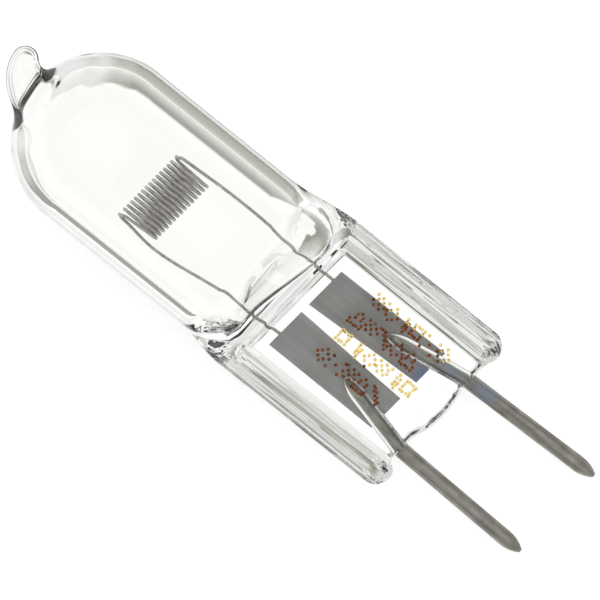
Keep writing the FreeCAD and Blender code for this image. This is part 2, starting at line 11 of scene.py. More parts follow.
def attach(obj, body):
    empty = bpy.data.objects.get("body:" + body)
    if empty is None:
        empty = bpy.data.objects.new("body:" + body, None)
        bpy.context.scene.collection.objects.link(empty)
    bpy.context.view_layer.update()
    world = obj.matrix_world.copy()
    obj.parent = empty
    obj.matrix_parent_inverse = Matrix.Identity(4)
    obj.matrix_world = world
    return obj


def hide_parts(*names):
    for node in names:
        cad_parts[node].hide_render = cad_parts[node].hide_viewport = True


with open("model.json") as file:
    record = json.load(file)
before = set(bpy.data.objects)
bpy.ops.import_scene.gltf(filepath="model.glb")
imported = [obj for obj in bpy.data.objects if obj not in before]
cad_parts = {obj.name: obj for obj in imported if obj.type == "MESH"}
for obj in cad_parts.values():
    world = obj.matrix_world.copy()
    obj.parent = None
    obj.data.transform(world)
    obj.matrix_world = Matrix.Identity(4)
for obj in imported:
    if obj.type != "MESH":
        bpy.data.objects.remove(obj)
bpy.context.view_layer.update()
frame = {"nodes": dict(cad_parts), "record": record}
nodes = frame["nodes"]
mm = 0.001
print("frame loaded:", ", ".join(sorted(nodes)))


# The lamp's own frame, in mm: x from the top of the dome to the pins, y across the flat seal and
# z its thickness. The pins' axes in the record give its directions.
leftAxis, rightAxis = [Vector(mount["axis"]) for mount in frame["record"]["mounts"]]
along = (leftAxis + rightAxis).normalized()
across = (leftAxis - rightAxis).normalized()
lampTurn = Matrix((along, across, along.cross(across)))

glass = {
    "bulbRadius": 5.5,
    "bulbWall": 0.9,
    "domeWall": 0.9,
    "bulbLength": 16.0,
    "shoulder": 4.3,
    "sealLength": 11.7,
    "sealHalf": 6.0,
    "sealLean": 6.0,  # degrees that the seal's ends are askew
    "ribLean": 2.6,
    "ribWidth": 1.9,
    "ribHalf": 1.8,  # half of its height
    "ribOverrun": 0.6,
    "ribRim": 0.85,  # rounding of the ribs' ends, front to back
    "ribArch": (3.55, 2.3),  # middle and radius of the ribs' arched faces
    "finHalf": 0.24,  # half of the thin edge that the press left along each rib
    "webHalf": 1.15,
    "webSlope": 0.55,
    "webSide": 0.3,
    "webBulge": 0.4,  # how far the web's end bulges between the pins
    "bulgeHalf": 2.1,
    "webRim": 0.3,
    "archStart": (2.2, 2.4),  # how far before the seal the arch begins, and over what length
    "finBlend": 0.16,
    "endBlend": 0.12,
    "endZone": 2.2,  # length at the pins' end in which the rings turn to the end's outline
    "slopeZone": (0.2, 0.9),  # from before the seal's start to after it, where rings are closer
    "knotSeed": 7,
    "knotGrain": (1.25, 2.9),
    "knotSide": 0.4,  # share of a knot's push that goes sideways
    "knots": (  # place, reach and depth
        ((20.3, 4.8), (0.6, 0.6), 0.06),
        ((19.3, -4.9), (1.0, 0.8), 0.12),
        ((20.6, -4.9), (0.5, 0.6), 0.06),
        ((31.8, 1.4), (0.35, 0.6), 0.14),
        ((32.0, -0.7), (0.3, 0.8), 0.12),
        ((31.9, 4.0), (0.4, 0.6), 0.08),
        ((31.9, -4.0), (0.4, 0.6), 0.08),
    ),
    "around": 288,
}
nib = {
    "root": Vector((1.2, -0.4, 0)),
    "bend": Vector((-1.5, -0.1, 0)),
    "tip": Vector((-1.59, 1.91, 0)),
    "rootRadius": 1.68,
    "neckRadius": 0.84,
    "neck": 0.75,  # share of the middle line where its end starts to round off
    "end": 0.772,
    "foot": 0.3,  # share of the middle line where it starts to spread on to the dome
    "rootAngle": 25,  # degrees, how far out on the dome it spreads
    "blend": 0.6,
    "boreBlend": 0.6,
    "bore": 0.3,  # quartz round the closed bore in the nib
    "balls": 160,  # the nib's skin is that of a row of balls along its middle line
}
gasSpace = {
    "end": 19.3,
    "cap": 0.55,  # length over which it closes, front to back
    "capCorner": 2.6,
    "corner": 4.0,  # how squarely its end turns into its sides
    "narrowing": 0.995,
    "thinnest": 0.2,
    "tallest": 1.6,
    "lean": 19.0,
    "pocket": (-2.0, 0.5, 0.6),  # where its end turns back to the left rib, how softly, how far
    "around": 160,
}

# Ripples in the dome's inner face.
ripples = {
    "height": 0.02,
    "reach": 2.5,
    "middle": Vector((-1, 0.15, 0)),  # from the dome's centre to the rings' middle
    "rings": 16,
    "ringShare": 0.4,
    "waver": (6, 0.3),  # how fast they vary away from the middle, and round it
}

# Rings of points along each stretch of the surfaces.
rows = {
    "nibTip": 18,
    "nib": 20,
    "nibFoot": 18,
    "dome": 30,
    "tube": 24,
    "shoulder": 40,
    "slope": 16,
    "web": 24,
    "end": 14,
    "rim": 8,
    "endFace": 4,
    "gasTube": 20,
    "gasShoulder": 36,
    "gasCap": 14,
    "pinPoint": 14,
    "pinRod": 60,
}

lean = math.tan(math.radians(glass["sealLean"]))
ribLean = math.tan(math.radians(glass["ribLean"]))
sealStart = glass["bulbLength"] + glass["shoulder"]
sealEnd = sealStart + glass["sealLength"]
ribEnd = sealEnd + glass["ribOverrun"]
reach = ribEnd + glass["sealHalf"] * ribLean


def lampBox(name):
    places = [lampTurn @ v.co for v in nodes[name].data.vertices]
    low = Vector([min(p[i] for p in places) for i in range(3)])
    high = Vector([max(p[i] for p in places) for i in range(3)])
    return low, high


envelopeLow, envelopeHigh = lampBox("envelope")
lampOrigin = (envelopeLow + envelopeHigh) / 2
lampOrigin.x = envelopeHigh.x - reach * mm
toRow = lampTurn.transposed().to_4x4() @ Matrix.Translation(lampOrigin) @ Matrix.Scale(mm, 4)
print("lamp's own frame starts at", [round(c / mm, 3) for c in toRow.translation], "mm")


def smooth(value):
    value = min(max(value, 0.0), 1.0)
    return value * value * (3 - 2 * value)


def mix(a, b, share):
    return a + (b - a) * share


def steps(first, last, count):
    # Evenly spaced values after the first, up to the last.
    return [mix(first, last, i / count) for i in range(1, count + 1)]


def ramp(value, corner=0.12):
    # From 0 to 1 in a straight slope with small rounded corners.
    if value > 0.5:
        return 1 - ramp(1 - value, corner)
    if value < -corner:
        return 0.0
    if value < corner:
        return (value + corner) ** 2 / (4 * corner)
    return value


def oblong(halfWidth, halfHeight, share):
    # A point of a flat section with half-round ends, a share of the way round from its +y side.
    # Points lie closer where the pressed web begins.
    quarter = int(share * 4) % 4
    part = share * 4 - int(share * 4)
    if quarter % 2:
        part = 1 - part
    part = spread(part)
    arc = halfHeight * math.pi / 2
    top = halfWidth - halfHeight
    run = part * (arc + top)
    if run < arc:
        angle = run / halfHeight
        y = top + halfHeight * math.cos(angle)
        z = halfHeight * math.sin(angle)
    else:
        y, z = top - (run - arc), halfHeight
    return (y if quarter in (0, 3) else -y), (z if quarter in (0, 1) else -z)


def spread(part, low=0.34, high=0.48, crowd=3.0):
    # Slows down between two shares of a quarter turn, so that more points fall there.
    total = 1 + (high - low) * (crowd - 1)
    part *= total
    if part < low:
        return part
    if part < low + (high - low) * crowd:
        return low + (part - low) / crowd
    return part - (high - low) * (crowd - 1)


def wrapRings(rings, around, flip=False):
    # A grid is wrapped round the lamp, one ring for each of its rows, and closed at both ends.
    weld, thread = 0.0005, 0.0003
    bm = bmesh.new()
    last = len(rings) - 1
    bmesh.ops.create_grid(bm, x_segments=last, y_segments=around, size=1)
    for v in bm.verts:
        row = round((v.co.x + 1) / 2 * last)
        share = round((v.co.y + 1) / 2 * around) / around
        v.co = rings[row](share % 1.0)
    bmesh.ops.remove_doubles(bm, verts=bm.verts, dist=weld)
    bmesh.ops.dissolve_degenerate(bm, edges=bm.edges, dist=thread)
    bmesh.ops.recalc_face_normals(bm, faces=bm.faces)
    if flip:
        bmesh.ops.reverse_faces(bm, faces=bm.faces)
    return bm


def makePiece(name, meshes, material):
    mesh = bpy.data.meshes.new(name)
    whole = bmesh.new()
    for bm in meshes:
        part = bpy.data.meshes.new("part")
        bm.to_mesh(part)
        bm.free()
        whole.from_mesh(part)
        bpy.data.meshes.remove(part)
    whole.transform(toRow)
    for face in whole.faces:
        face.smooth = True
    whole.to_mesh(mesh)
    whole.free()
    mesh.materials.append(material)
    piece = bpy.data.objects.new(name, mesh)
    bpy.context.scene.collection.objects.link(piece)
    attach(piece, "root")
    print(f"{name}: {sum(len(f.vertices) - 2 for f in mesh.polygons)} triangles")
    return piece


# Materials. Their patterns are laid out in the lamp's own frame, in mm.


def newMaterial(name):
    material = bpy.data.materials.new(name)
    material.use_nodes = True
    return material, material.node_tree, material.node_tree.nodes["Principled BSDF"]


def addNode(tree, kind, links=(), **settings):
    node = tree.nodes.new(kind)
    for name, value in settings.items():
        if hasattr(node, name):
            setattr(node, name, value)
        else:
            node.inputs[name.replace("_", " ")].default_value = value
    for name, source in links:
        tree.links.new(source, node.inputs[name])
    return node


def lampPlace(tree, scale=(1, 1, 1)):
    place = addNode(tree, "ShaderNodeTexCoord").outputs["Object"]
    turned = addNode(tree, "ShaderNodeMapping", [("Vector", place)],
                     Scale=(1 / mm, 1 / mm, 1 / mm), Rotation=lampTurn.to_euler(),
                     Location=-lampOrigin / mm)
    if scale == (1, 1, 1):
        return turned.outputs[0]
    links = [("Vector", turned.outputs[0])]
    return addNode(tree, "ShaderNodeMapping", links, Scale=scale).outputs[0]


def noiseAt(tree, scale, detail=2.0):
    links = [("Vector", lampPlace(tree, scale))]
    return addNode(tree, "ShaderNodeTexNoise", links, Scale=1.0, Detail=detail).outputs["Fac"]


def mapped(tree, value, low, high, first, last):
    node = addNode(tree, "ShaderNodeMapRange", [("Value", value)], From_Min=low, From_Max=high,
                   To_Min=first, To_Max=last)
    return node.outputs["Result"]


def patches(tree, scale, detail=2.0, around=0.2):
    # Noise from 0 to 1, stretched from its usual range round the middle.
    return mapped(tree, noiseAt(tree, scale, detail), 0.5 - around, 0.5 + around, 0.0, 1.0)


def compute(tree, kind, first, second):
    node = addNode(tree, "ShaderNodeMath", operation=kind)
    for socket, value in zip(node.inputs, (first, second)):
        if isinstance(value, (int, float)):
            socket.default_value = value
        else:
            tree.links.new(value, socket)
    return node.outputs[0]


def blendColours(tree, share, first, second):
    node = addNode(tree, "ShaderNodeMix", data_type="RGBA")
    tree.links.new(share, node.inputs[0])
    for socket, colour in ((node.inputs[6], first), (node.inputs[7], second)):
        if isinstance(colour, tuple):
            socket.default_value = (*colour, 1)
        else:
            tree.links.new(colour, socket)
    return node.outputs[2]


def nearPlace(tree, place, radius):
    # 1 at a place of the lamp, fading to 0 at the radius.
    far = addNode(tree, "ShaderNodeVectorMath", [(0, lampPlace(tree))], operation="DISTANCE")
    far.inputs[1].default_value = place
    return mapped(tree, far.outputs["Value"], radius * 0.3, radius, 1.0, 0.0)


def bumpFrom(tree, height, distance, strength=1.0):
    bump = addNode(tree, "ShaderNodeBump", [("Height", height)],
                   Distance=distance, Strength=strength)
    return bump.outputs["Normal"]


quartzLook = {
    "tints": ((0.985, 0.99, 0.965), (0.99, 0.992, 0.982)),
    # painted shade: a grey band in the ribs that stands in for the dark bands the bent light
    # makes there
    "ribPaintedShade": (0.82, 0.82, 0.79),
    "pressed": (18.5, 21.0),  # where pressing starts to show, along the lamp
    "ribShadeBand": ((4.05, 4.2), (5.4, 5.55)),  # start and end of the painted shade, from the middle
    "linedRib": (3.9, 4.4),
    "linesOnWeb": 0.2,
    "lines": (0.08, 1.7, 1.7),  # how fast they vary in each direction
    "lineHeight": 0.0001,
}
metals = {
    "drawnMolybdenum": {
        "dark": (0.2, 0.19, 0.165),
        "light": (0.42, 0.41, 0.365),
        "roughness": (0.5, 0.28),
        "lines": (0.22, 5.0, 5.0),
        "blotches": 1.3,
        "heated": ((33.6, 2.75, 0.7), (31.0, 2.4, 0.7)),
        "heatReach": 1.1,
        "heatTint": (0.27, 0.3, 0.35),
    },
    "rolledFoil": {
        "dark": (0.33, 0.328, 0.325),
        "light": (0.45, 0.447, 0.44),
        "roughness": (0.5, 0.42),
        "lines": (0.1, 2.6, 2.6),
        "blotches": 0.45,
        "heated": ((30.05, 1.15, -0.3),),
        "heatReach": 1.0,
        "heatTint": (0.2, 0.25, 0.38),
    },
    "tungsten": {
        "dark": (0.3, 0.285, 0.265),
        "light": (0.66, 0.635, 0.6),
        "roughness": (0.42, 0.26),
        "lines": (6.0, 6.0, 6.0),
        "blotches": 2.0,
        "heated": (),
    },
}


def quartzMaterial():
    # Clear, with faint lengthwise lines; a grey band in the pressed ribs is painted shade,
    # standing in for the dark bands that bent light makes there.
    material, tree, shader = newMaterial("clearQuartz")
    shader.inputs["Roughness"].default_value = 0.0
    shader.inputs["IOR"].default_value = 1.46
    shader.inputs["Transmission Weight"].default_value = 1.0
    x, y = addNode(tree, "ShaderNodeSeparateXYZ", [(0, lampPlace(tree))]).outputs[:2]
    off = compute(tree, "ABSOLUTE", y, 0.0)
    pressed = mapped(tree, x, *quartzLook["pressed"], 0.0, 1.0)

    # Mask of the painted shade band in the ribs.
    shadeStart, shadeStop = quartzLook["ribShadeBand"]
    ribShadeMask = compute(tree, "MULTIPLY", mapped(tree, off, *shadeStart, 0.0, 1.0),
                    mapped(tree, off, *shadeStop, 1.0, 0.0))
    ribShadeMask = compute(tree, "MULTIPLY", ribShadeMask, pressed)
    colour = blendColours(tree, patches(tree, (0.3, 0.3, 0.3)), *quartzLook["tints"])
    colour = blendColours(tree, ribShadeMask, colour, quartzLook["ribPaintedShade"])
    tree.links.new(colour, shader.inputs["Base Color"])

    lined = mapped(tree, off, *quartzLook["linedRib"], quartzLook["linesOnWeb"], 1.0)
    lines = compute(tree, "MULTIPLY", noiseAt(tree, quartzLook["lines"], 1.5),
                    compute(tree, "MULTIPLY", pressed, lined))
    tree.links.new(bumpFrom(tree, lines, quartzLook["lineHeight"]), shader.inputs["Normal"])
    return material


def metalMaterial(name):
    # Drawn or rolled metal: fine lines along it, blotches, and bluish marks where it was heated.
    look = metals[name]
    lineShare, lineHeight, lineStrength = 0.6, 0.000004, 0.6
    material, tree, shader = newMaterial(name)
    shader.inputs["Metallic"].default_value = 1.0
    lines = patches(tree, look["lines"], 4.0)
    blotches = patches(tree, (look["blotches"],) * 3, 3.0, 0.15)
    share = compute(tree, "ADD", compute(tree, "MULTIPLY", lines, lineShare),
                    compute(tree, "MULTIPLY", blotches, 1 - lineShare))
    colour = blendColours(tree, share, look["dark"], look["light"])
    for place in look["heated"]:
        near = nearPlace(tree, place, look["heatReach"])
        colour = blendColours(tree, near, colour, look["heatTint"])
    tree.links.new(colour, shader.inputs["Base Color"])
    tree.links.new(mapped(tree, share, 0.0, 1.0, *look["roughness"]), shader.inputs["Roughness"])
    tree.links.new(bumpFrom(tree, lines, lineHeight, lineStrength), shader.inputs["Normal"])
    return material


def inkMaterial(name, thick, thin, clear):
    # Amber ink, uneven as it was stamped on. The same ink is made as two copies: a dark opaque
    # one over the foils, which is painted shade, and a light see-through one over clear quartz,
    # which is painted light.
    material, tree, shader = newMaterial(name)
    shader.inputs["Roughness"].default_value = 0.35
    shader.inputs["IOR"].default_value = 1.1
    shader.inputs["Transmission Weight"].default_value = clear
    share = patches(tree, (5.0, 5.0, 5.0), 3.0, 0.15)
    tree.links.new(blendColours(tree, share, thick, thin), shader.inputs["Base Color"])
    return material


# The quartz envelope.


def turnAt(share):
    quarter = int(share * 4) % 4
    part = share * 4 - int(share * 4)
    part = 1 - spread(1 - part) if quarter % 2 else spread(part)
    return (quarter + part) * math.pi / 2


def tiltedRing(middle, side, radius):
    def place(share):
        turn = turnAt(share)
        return middle + side * radius * math.cos(turn) + Vector((0, 0, radius * math.sin(turn)))
    return place


def domeRing(radius, top, angle):
    # A ring on a dome whose top is at the given place, seen from its centre under an angle.
    middle = Vector((top + radius * (1 - math.cos(angle)), 0, 0))
    return tiltedRing(middle, Vector((0, 1, 0)), radius * math.sin(angle))


def nibLine(share):
    # The nib's middle line, with its heading towards the tip and its radius.
    rest = 1 - share
    middle = nib["root"] * rest ** 2 + nib["bend"] * 2 * rest * share + nib["tip"] * share ** 2
    heading = (nib["bend"] - nib["root"]) * rest + (nib["tip"] - nib["bend"]) * share
    radius = mix(nib["rootRadius"], nib["neckRadius"], share / nib["neck"])
    return middle, heading.normalized(), radius


def skinGap(points, inside=False):
    # How far points are outside the dome with the nib melted on to it, or outside its gas space.
    centre, ballRadius, wall, blend = glass["bulbRadius"], glass["bulbRadius"], 0.0, nib["blend"]
    if inside:
        blend = nib["boreBlend"]
        ballRadius, wall = glass["bulbRadius"] - glass["bulbWall"], nib["bore"]
        centre = glass["domeWall"] + ballRadius
    ball = np.linalg.norm(points - (centre, 0, 0), axis=1) - ballRadius
    drop = np.full(len(points), 100.0)
    for step in range(nib["balls"] + 1):
        middle, _, radius = nibLine(nib["end"] * step / nib["balls"])
        gap = np.linalg.norm(points - np.array(middle), axis=1) - radius + wall
        drop = np.minimum(drop, gap)
    share = np.clip(0.5 + (drop - ball) / (2 * blend), 0, 1)
    return mix(drop, ball, share) - blend * share * (1 - share)


def settleOnSkin(bm, inside=False):
    # Moves the dome's and the nib's points on to their blended skin.
    rounds, step, flattest = 5, 0.01, 0.3
    verts = [v for v in bm.verts if v.co.x < glass["bulbRadius"] * 0.9]
    points = np.array([v.co for v in verts])
    for _ in range(rounds):
        gap = skinGap(points, inside)
        slope = np.stack([(skinGap(points + offset, inside) - gap) / step
                          for offset in step * np.eye(3)], axis=1)
        points -= slope * (gap / np.maximum((slope ** 2).sum(axis=1), flattest))[:, None]
    for v, point in zip(verts, points):
        v.co = point


def nibRing(share, wall=0.0):
    middle, heading, radius = nibLine(share)
    return tiltedRing(middle, Vector((heading.y, -heading.x, 0)), radius - wall)


def between(first, second, share):
    return lambda turn: first(turn).lerp(second(turn), share)


def nibAndDomeRings(domeRadius, top, wall=0.0):
    middle, heading, radius = nibLine(nib["end"])
    radius -= wall
    side = Vector((heading.y, -heading.x, 0))
    rings = []
    for angle in [0.01] + steps(0, 90, rows["nibTip"]):
        angle = math.radians(angle)
        centre = middle + heading * radius * math.cos(angle)
        rings.append(tiltedRing(centre, side, radius * math.sin(angle)))
    rings += [nibRing(share, wall) for share in steps(nib["end"], nib["foot"], rows["nib"])]
    rootAngle = math.radians(nib["rootAngle"])
    foot = nibRing(nib["foot"], wall)
    dome = domeRing(domeRadius, top, rootAngle)
    rings += [between(foot, dome, share) for share in steps(0, 1, rows["nibFoot"])]
    rings += [domeRing(domeRadius, top, angle)
              for angle in steps(rootAngle, math.pi / 2, rows["dome"])]
    return rings


def endOfSeal(y):
    # How far the seal reaches at a place across it, how squarely its end faces the pins, and the
    # share of the rib in it.
    ribRound = glass["ribWidth"] / 2
    half = glass["sealHalf"]
    ribCentre = ribEnd + math.copysign(half, y) * ribLean - ribRound
    off = abs(y) - (half - ribRound)
    rib = ribCentre + math.sqrt(max(ribRound ** 2 - off ** 2, 0))
    bulge, bulgeHalf = glass["webBulge"], glass["bulgeHalf"]
    arc = (bulgeHalf ** 2 + bulge ** 2) / (2 * bulge)
    web = sealEnd + y * lean
    if abs(y) < bulgeHalf:
        web += bulge - arc + math.sqrt(arc ** 2 - y ** 2)
    share = 1.0 if off > 0 else 0.0
    if -ribRound < off <= 0:
        share = smooth(0.5 + (rib - web) / (2 * glass["endBlend"]))
    squareness = math.sqrt(max(1 - (off / ribRound) ** 2, 0)) if off > 0 else 1.0
    return mix(web, rib, share), squareness, share


def shoulderSize(station):
    # Half width and half height of the outer skin from the round bulb to the flat seal.
    part = min(max((station - glass["bulbLength"]) / glass["shoulder"], 0), 1)
    blend = (1 - math.cos(math.pi * part)) / 2
    radius = glass["bulbRadius"]
    return mix(radius, glass["sealHalf"], blend), mix(radius, glass["ribHalf"], blend)


def skinSection(station, share):
    width, height = shoulderSize(station)
    y, z = oblong(width, height, share)
    before, length = glass["archStart"]
    arched = smooth((station - sealStart + before) / length)
    top = abs(z) * mix(1, archAt(abs(y)) / archedFrom(abs(y)), arched)
    webEdge = glass["sealHalf"] - glass["ribWidth"] + glass["webSide"] / 2
    pressed = ramp((webEdge - abs(y)) / glass["webSide"])
    pressed *= ramp((station - sealStart) / glass["webSlope"])
    top = mix(top, min(top, glass["webHalf"]), pressed)
    return y, math.copysign(top, z)


def archAt(y):
    # Half height of a pressed rib: an arched face that runs out into a thin fin.
    middle, radius = glass["ribArch"]
    face = glass["ribHalf"]
    if y > middle:
        face += math.sqrt(max(radius ** 2 - (y - middle) ** 2, 0)) - radius
    half = glass["finHalf"]
    fin = half
    if y > glass["sealHalf"] - half:
        fin = math.sqrt(max(half ** 2 - (y - glass["sealHalf"] + half) ** 2, 0))
    blend = glass["finBlend"]
    share = min(max(0.5 + (face - fin) / (2 * blend), 0), 1)
    return mix(fin, face, share) + blend * share * (1 - share) * min(fin / half, 1)


def archedFrom(y):
    # Half height of the plain half-round rib at the same place.
    off = max(y - glass["sealHalf"] + glass["ribHalf"], 0)
    return math.sqrt(max(glass["ribHalf"] ** 2 - off ** 2, 1e-6))


def skinRing(station):
    askew = smooth((station - glass["bulbLength"]) / glass["shoulder"]) * lean

    def place(share):
        y, z = skinSection(station, share)
        return Vector((station + y * askew, y, z))
    return place


def endRing(start, share, inset, advance, flatten):
    # Rings run up to the seal's end, over its rounded rim and then close over its face.
    def place(turn):
        y, z = skinSection(start, turn)
        end, squareness, ribShare = endOfSeal(y)
        rim = min(mix(glass["webRim"], glass["ribRim"], ribShare) * squareness, abs(z))
        x = mix(start + y * lean, end - rim, share) + rim * advance
        z = math.copysign(max(abs(z) - rim * inset, 0), z) * flatten
        return Vector((x, y, z))
    return place


def skinRings():
    radius = glass["bulbRadius"]
    slopeStart = sealStart - glass["slopeZone"][0]
    slopeEnd = sealStart + glass["slopeZone"][1]
    endStart = sealEnd - glass["endZone"]
    rings = nibAndDomeRings(radius, 0)
    stations = steps(radius, glass["bulbLength"], rows["tube"])
    stations += steps(glass["bulbLength"], slopeStart, rows["shoulder"])
    stations += steps(slopeStart, slopeEnd, rows["slope"])
    stations += steps(slopeEnd, endStart, rows["web"])
    rings += [skinRing(station) for station in stations]
    rings += [endRing(endStart, share, 0, 0, 1) for share in steps(0, 1, rows["end"])]
    for degrees in steps(0, 90, rows["rim"]):
        angle = math.radians(degrees)
        rings.append(endRing(endStart, 1, 1 - math.cos(angle), math.sin(angle), 1))
    rings += [endRing(endStart, 1, 1, 1, left) for left in steps(1, 0, rows["endFace"])]
    return rings


def addKnots(bm):
    # The quartz ran together unevenly where the ribs begin, and at the web's end.
    noise.seed_set(glass["knotSeed"])  # or else the noise starts from the time of day
    coarse, fine = glass["knotGrain"]
    faint = 0.02
    for middle, reachOf, depth in glass["knots"]:
        for v in bm.verts:
            offX = (v.co.x - v.co.y * lean - middle[0]) / reachOf[0]
            offY = (v.co.y - middle[1]) / reachOf[1]
            near = math.exp(-offX ** 2 - offY ** 2)
            if near > faint:
                push = noise.noise_vector(v.co * coarse) + noise.noise_vector(v.co * fine) * 0.5
                push.y *= glass["knotSide"]
                v.co += push * near * depth


def addRipples(bm):
    # Rings in the dome, where the hot tube was drawn in unevenly.
    centre = Vector((glass["bulbRadius"], 0, 0))
    fast, slow = ripples["waver"]
    for v in bm.verts:
        if v.co.x < centre.x:
            way = (v.co - centre).normalized()
            fade = smooth((centre.x - v.co.x) / ripples["reach"])
            polar = way.angle(ripples["middle"])
            wave = noise.noise(Vector((polar * fast, way.y * slow, way.z * slow)))
            wave += ripples["ringShare"] * math.sin(polar * ripples["rings"] + way.y)
            v.co += way * wave * fade * ripples["height"]


def cavityRings():
    radius = glass["bulbRadius"] - glass["bulbWall"]
    top = glass["domeWall"]
    first = glass["bulbLength"]
    last = gasSpace["end"]
    capStart = last - gasSpace["cap"]
    endLean = math.tan(math.radians(gasSpace["lean"]))
    turnPlace, turnSoft, turnBack = gasSpace["pocket"]
    rings = nibAndDomeRings(radius, top, nib["bore"])
    rings += [tiltedRing(Vector((x, 0, 0)), Vector((0, 1, 0)), radius)
              for x in steps(top + radius, first, rows["gasTube"])]

    def heightAt(station):
        # Its wall follows the skin outside.
        step = 0.01
        skin = shoulderSize(station)[1]
        slope = (shoulderSize(station + step)[1] - skin) / step
        return max(skin - glass["bulbWall"] * math.sqrt(1 + slope ** 2), gasSpace["thinnest"])

    def ring(station):
        part = (station - first) / (last - first)
        inCap = max(station - capStart, 0) / gasSpace["cap"]
        capCorner, corner = gasSpace["capCorner"], gasSpace["corner"]
        closing = max(1 - inCap ** capCorner, 0) ** (1 / capCorner)
        width = radius * max(1 - (part * gasSpace["narrowing"]) ** corner, 0) ** (1 / corner)
        height = min(heightAt(station), width * 0.9999)

        def place(share):
            y, z = oblong(width, height, share)
            off = y - turnPlace
            bent = math.sqrt(off ** 2 + turnSoft ** 2)
            shift = turnPlace + mix(bent, off, (1 - turnBack) / 2)
            x = station + shift * endLean * smooth(part)
            above = x - y * lean * smooth((x - first) / glass["shoulder"])
            taller = min(heightAt(above) / heightAt(station), gasSpace["tallest"])
            return Vector((x, y, z * taller * closing))
        return place

    rings += [ring(station) for station in steps(first, capStart, rows["gasShoulder"])]
    rings += [ring(last - gasSpace["cap"] * (1 - math.sin(math.radians(degrees))))
              for degrees in steps(0, 90, rows["gasCap"])]
    return rings


# The pins, and the fine gaps round them in the quartz.

pins = {
    "radius": 0.5,
    "point": 1.25,  # length of each tapered end
    "blunt": 0.14,
    "face": 0.8,  # share of the blunt end that is flat
    "gap": 0.035,
    "gapEnd": 0.12,  # how far inside the seal's end the gap closes
    "depth": 0.1975,
    "exitSpacing": 5.83,
    "shift": -0.24,
    "free": 9.9,
    "splay": 1.6,
    "bendRadius": 2.0,
    "lap": 3.45,
    "foilMiddle": 1.925,
    "foilShift": -0.08,
    "foilEnd": 29.87,
    "crank": {"left": 9.5, "right": 13.5},
    "around": 32,
}
sides = {"left": 1, "right": -1}


def pinPath(side):
    # The pin's axis: its end on the foil, its bend, and its free tip.
    sign = sides[side]
    exitY = pins["shift"] + sign * pins["exitSpacing"] / 2
    corner = Vector((sealEnd + exitY * lean, exitY, pins["depth"]))
    foilY = pins["foilShift"] + sign * pins["foilMiddle"]
    lapX = pins["foilEnd"] + foilY * lean - pins["lap"] + pins["point"]
    crank = math.radians(pins["crank"][side])
    inward = Vector((-math.cos(crank), -sign * math.sin(crank), 0))
    lapEnd = corner + inward * ((corner.x - lapX) / math.cos(crank) + pins["point"])
    splay = math.radians(pins["splay"])
    outward = Vector((math.cos(splay), sign * math.sin(splay), 0))
    tip = corner + outward * ((pins["free"] - pins["point"]) / math.cos(splay) + pins["point"])
    return lapEnd, corner, tip


def bentPath(start, corner, end):
    # Points and headings from start to end, with the corner rounded.
    inward, outward = (corner - start).normalized(), (end - corner).normalized()
    bend = inward.angle(outward)
    setback = pins["bendRadius"] * math.tan(bend / 2)
    firstRun = (corner - start).length - setback
    arcRun = pins["bendRadius"] * bend
    total = firstRun + arcRun + (end - corner).length - setback
    turnAxis = inward.cross(outward).normalized()

    def at(run):
        if run <= firstRun:
            return start + inward * run, inward
        if run >= firstRun + arcRun:
            return end - outward * (total - run), outward
        turned = (run - firstRun) / pins["bendRadius"]
        centre = start + inward * firstRun + turnAxis.cross(inward) * pins["bendRadius"]
        heading = Matrix.Rotation(turned, 3, turnAxis) @ inward
        return centre - turnAxis.cross(heading) * pins["bendRadius"], heading
    return total, at


def pointRadius(near, extra):
    # The taper is an arc that leaves the rod smoothly and ends blunt.
    full, blunt, point = pins["radius"] + extra, pins["blunt"] + extra, pins["point"]
    if near >= point:
        return full
    drop = full - blunt
    arc = (point ** 2 + drop ** 2) / (2 * drop)
    return full - arc + math.sqrt(arc ** 2 - (point - near) ** 2)


def pinRings(side, extra, stop=None):
    total, at = bentPath(*pinPath(side))
    point = pins["point"]
    taper = [0] + steps(0, point, rows["pinPoint"])
    straight = total - point if stop is None else stop
    runs = taper + steps(point, straight, rows["pinRod"])
    if stop is None:
        runs += [total - run for run in reversed(taper[:-1])]

    def ring(run, radius):
        middle, heading = at(run)
        return tiltedRing(middle, Vector((0, 0, 1)).cross(heading), radius)

    face = pointRadius(0, extra) * pins["face"]
    rings = [ring(0, 1e-5), ring(0, face)]
    rings += [ring(run, pointRadius(min(run, total - run), extra)) for run in runs]
    if stop is None:
        rings.append(ring(total, face))
    rings.append(ring(runs[-1], 1e-5))
    return rings


skin = wrapRings(skinRings(), glass["around"])
settleOnSkin(skin)
addKnots(skin)
hollow = wrapRings(cavityRings(), gasSpace["around"], flip=True)
settleOnSkin(hollow, inside=True)
addRipples(hollow)
shells = [skin, hollow]
for side in sides:
    lapEnd, corner, _ = pinPath(side)
    stop = (corner - lapEnd).length - pins["gapEnd"]
    shells.append(wrapRings(pinRings(side, pins["gap"], stop), pins["around"], flip=True))
envelope = makePiece("quartz_envelope", shells, quartzMaterial())
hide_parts("envelope")

pinMetal = metalMaterial("drawnMolybdenum")
for side in sides:
    pin = makePiece(f"{side}_pin_rod", [wrapRings(pinRings(side, 0), pins["around"])], pinMetal)
    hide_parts(f"pin_{side}")

finishes = {"foil_left": metalMaterial("rolledFoil"), "filament": metalMaterial("tungsten")}
finishes["foil_right"] = finishes["foil_left"]
for name, metal in finishes.items():
    nodes[name].data.materials.clear()
    nodes[name].data.materials.append(metal)
for polygon in nodes["filament"].data.polygons:
    polygon.use_smooth = True
print("envelope, pins and metals done")


# Printed marks: plain shapes in dots, where the real one is printed.

